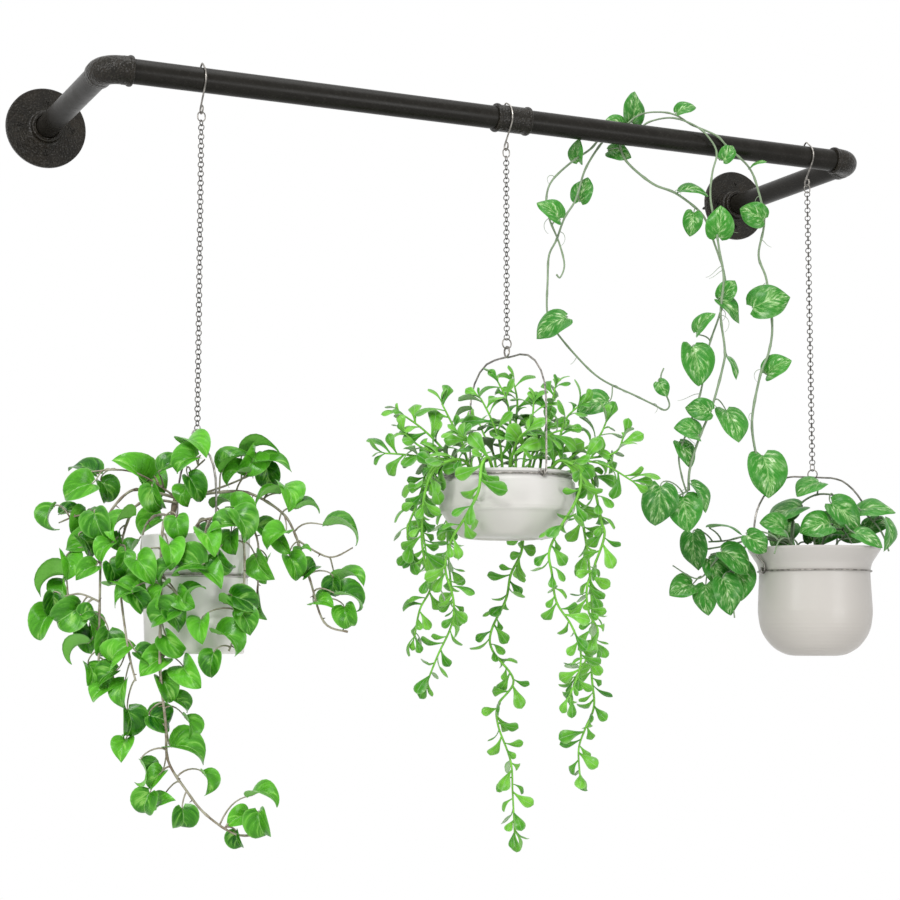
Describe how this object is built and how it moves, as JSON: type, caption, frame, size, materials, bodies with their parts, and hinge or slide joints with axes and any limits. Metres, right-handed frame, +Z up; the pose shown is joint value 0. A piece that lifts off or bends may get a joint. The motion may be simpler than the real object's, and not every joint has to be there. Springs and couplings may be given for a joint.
{
  "type": "hanging plant shelf",
  "caption": "Wall rail of black pipe and beaded fittings, with potted plants hung from it on wire hooks, ring chains and wire bails.",
  "frame": {"origin": "centre of the left wall flange's back face, on the wall", "axes": "+X along the rail from the left arm to the right arm, +Y into the wall, +Z up"},
  "size_m": [1.0665, 0.3961, 0.8977],
  "materials": {
    "black_pipe": "satin",
    "black_fitting": "satin",
    "screw": "satin",
    "wire": "satin",
    "glaze": "gloss",
    "soil": "matte",
    "pothos_leaf": "satin",
    "small_leaf": "satin",
    "marbled_leaf": "satin"
  },
  "bodies": {
    "wall_rail": {"left_flange": "black_fitting", "right_flange": "black_fitting", "left_flange_screws": "screw", "right_flange_screws": "screw", "left_arm_pipe": "black_pipe", "right_arm_pipe": "black_pipe", "left_elbow": "black_fitting", "right_elbow": "black_fitting", "left_rail_pipe": "black_pipe", "right_rail_pipe": "black_pipe", "rail_coupling": "black_fitting", "right_vines": "marbled_leaf"},
    "left_hook_body": {"left_hook": "wire"},
    "left_link_body": {"left_oval_link": "wire"},
    "left_chain_body": {"left_chain": "wire", "left_lower_ring": "wire"},
    "left_bail_body": {"left_bail": "wire"},
    "left_pot_body": {"left_pot_ring": "wire", "left_pot": "glaze", "left_soil": "soil", "left_plant": "pothos_leaf"},
    "middle_hook_body": {"middle_hook": "wire"},
    "middle_link_body": {"middle_oval_link": "wire"},
    "middle_chain_body": {"middle_chain": "wire", "middle_lower_ring": "wire"},
    "middle_bail_body": {"middle_bail": "wire"},
    "middle_pot_body": {"middle_pot_ring": "wire", "middle_pot": "glaze", "middle_soil": "soil", "middle_plant": "small_leaf"},
    "right_hook_body": {"right_hook": "wire"},
    "right_link_body": {"right_oval_link": "wire"},
    "right_chain_body": {"right_chain": "wire", "right_end_link": "wire", "right_lower_ring": "wire"},
    "right_bail_body": {"right_bail": "wire"},
    "right_pot_body": {"right_pot_ring": "wire", "right_pot": "glaze", "right_soil": "soil", "right_plant": "marbled_leaf"}
  },
  "joints": [
    {"name": "left_hook_slide", "type": "slide", "parent": "wall_rail", "child": "left_hook_body", "axis": [1, 0, 0], "range_m": [-0.055, 0.03]},
    {"name": "left_sideways_swing", "type": "hinge", "parent": "left_hook_body", "child": "left_link_body", "pos_m": [0.106, -0.267, -0.0369], "axis": [0, 1, 0], "range_deg": [-8, 8]},
    {"name": "left_outward_swing", "type": "hinge", "parent": "left_link_body", "child": "left_chain_body", "pos_m": [0.106, -0.267, -0.04537], "axis": [1, 0, 0], "range_deg": [-20, 10]},
    {"name": "left_bail_swivel", "type": "hinge", "parent": "left_chain_body", "child": "left_bail_body", "pos_m": [0.106, -0.267, -0.38401], "axis": [0, 0, 1], "range_deg": [-40, 45]},
    {"name": "left_pot_tilt", "type": "hinge", "parent": "left_bail_body", "child": "left_pot_body", "pos_m": [0.106, -0.267, -0.53293], "axis": [-0.0174, -0.9998, 0], "range_deg": [-10, 10], "deforming": ["left_plant"]},
    {"name": "middle_hook_slide", "type": "slide", "parent": "wall_rail", "child": "middle_hook_body", "axis": [1, 0, 0], "range_m": [-0.008, 0.02]},
    {"name": "middle_sideways_swing", "type": "hinge", "parent": "middle_hook_body", "child": "middle_link_body", "pos_m": [0.472, -0.267, -0.0369], "axis": [0, 1, 0], "range_deg": [-8, 8]},
    {"name": "middle_outward_swing", "type": "hinge", "parent": "middle_link_body", "child": "middle_chain_body", "pos_m": [0.472, -0.267, -0.04537], "axis": [1, 0, 0], "range_deg": [-20, 10]},
    {"name": "middle_bail_swivel", "type": "hinge", "parent": "middle_chain_body", "child": "middle_bail_body", "pos_m": [0.472, -0.267, -0.26233], "axis": [0, 0, 1], "range_deg": [-45, 45]},
    {"name": "middle_pot_tilt", "type": "hinge", "parent": "middle_bail_body", "child": "middle_pot_body", "pos_m": [0.472, -0.267, -0.41625], "axis": [0.0872, -0.9962, 0], "range_deg": [-10, 10], "deforming": ["middle_plant"]},
    {"name": "right_hook_slide", "type": "slide", "parent": "wall_rail", "child": "right_hook_body", "axis": [1, 0, 0], "range_m": [-0.05, 0.02]},
    {"name": "right_sideways_swing", "type": "hinge", "parent": "right_hook_body", "child": "right_link_body", "pos_m": [0.89, -0.267, -0.0369], "axis": [0, 1, 0], "range_deg": [-8, 8]},
    {"name": "right_outward_swing", "type": "hinge", "parent": "right_link_body", "child": "right_chain_body", "pos_m": [0.89, -0.267, -0.04537], "axis": [1, 0, 0], "range_deg": [-20, 10], "deforming": ["right_vines"]},
    {"name": "right_bail_swivel", "type": "hinge", "parent": "right_chain_body", "child": "right_bail_body", "pos_m": [0.89, -0.267, -0.39645], "axis": [0, 0, 1], "range_deg": [-16, 40]},
    {"name": "right_pot_tilt", "type": "hinge", "parent": "right_bail_body", "child": "right_pot_body", "pos_m": [0.89, -0.267, -0.51497], "axis": [0.9976, -0.0698, 0], "range_deg": [-10, 10], "deforming": ["right_plant"]}
  ]
}
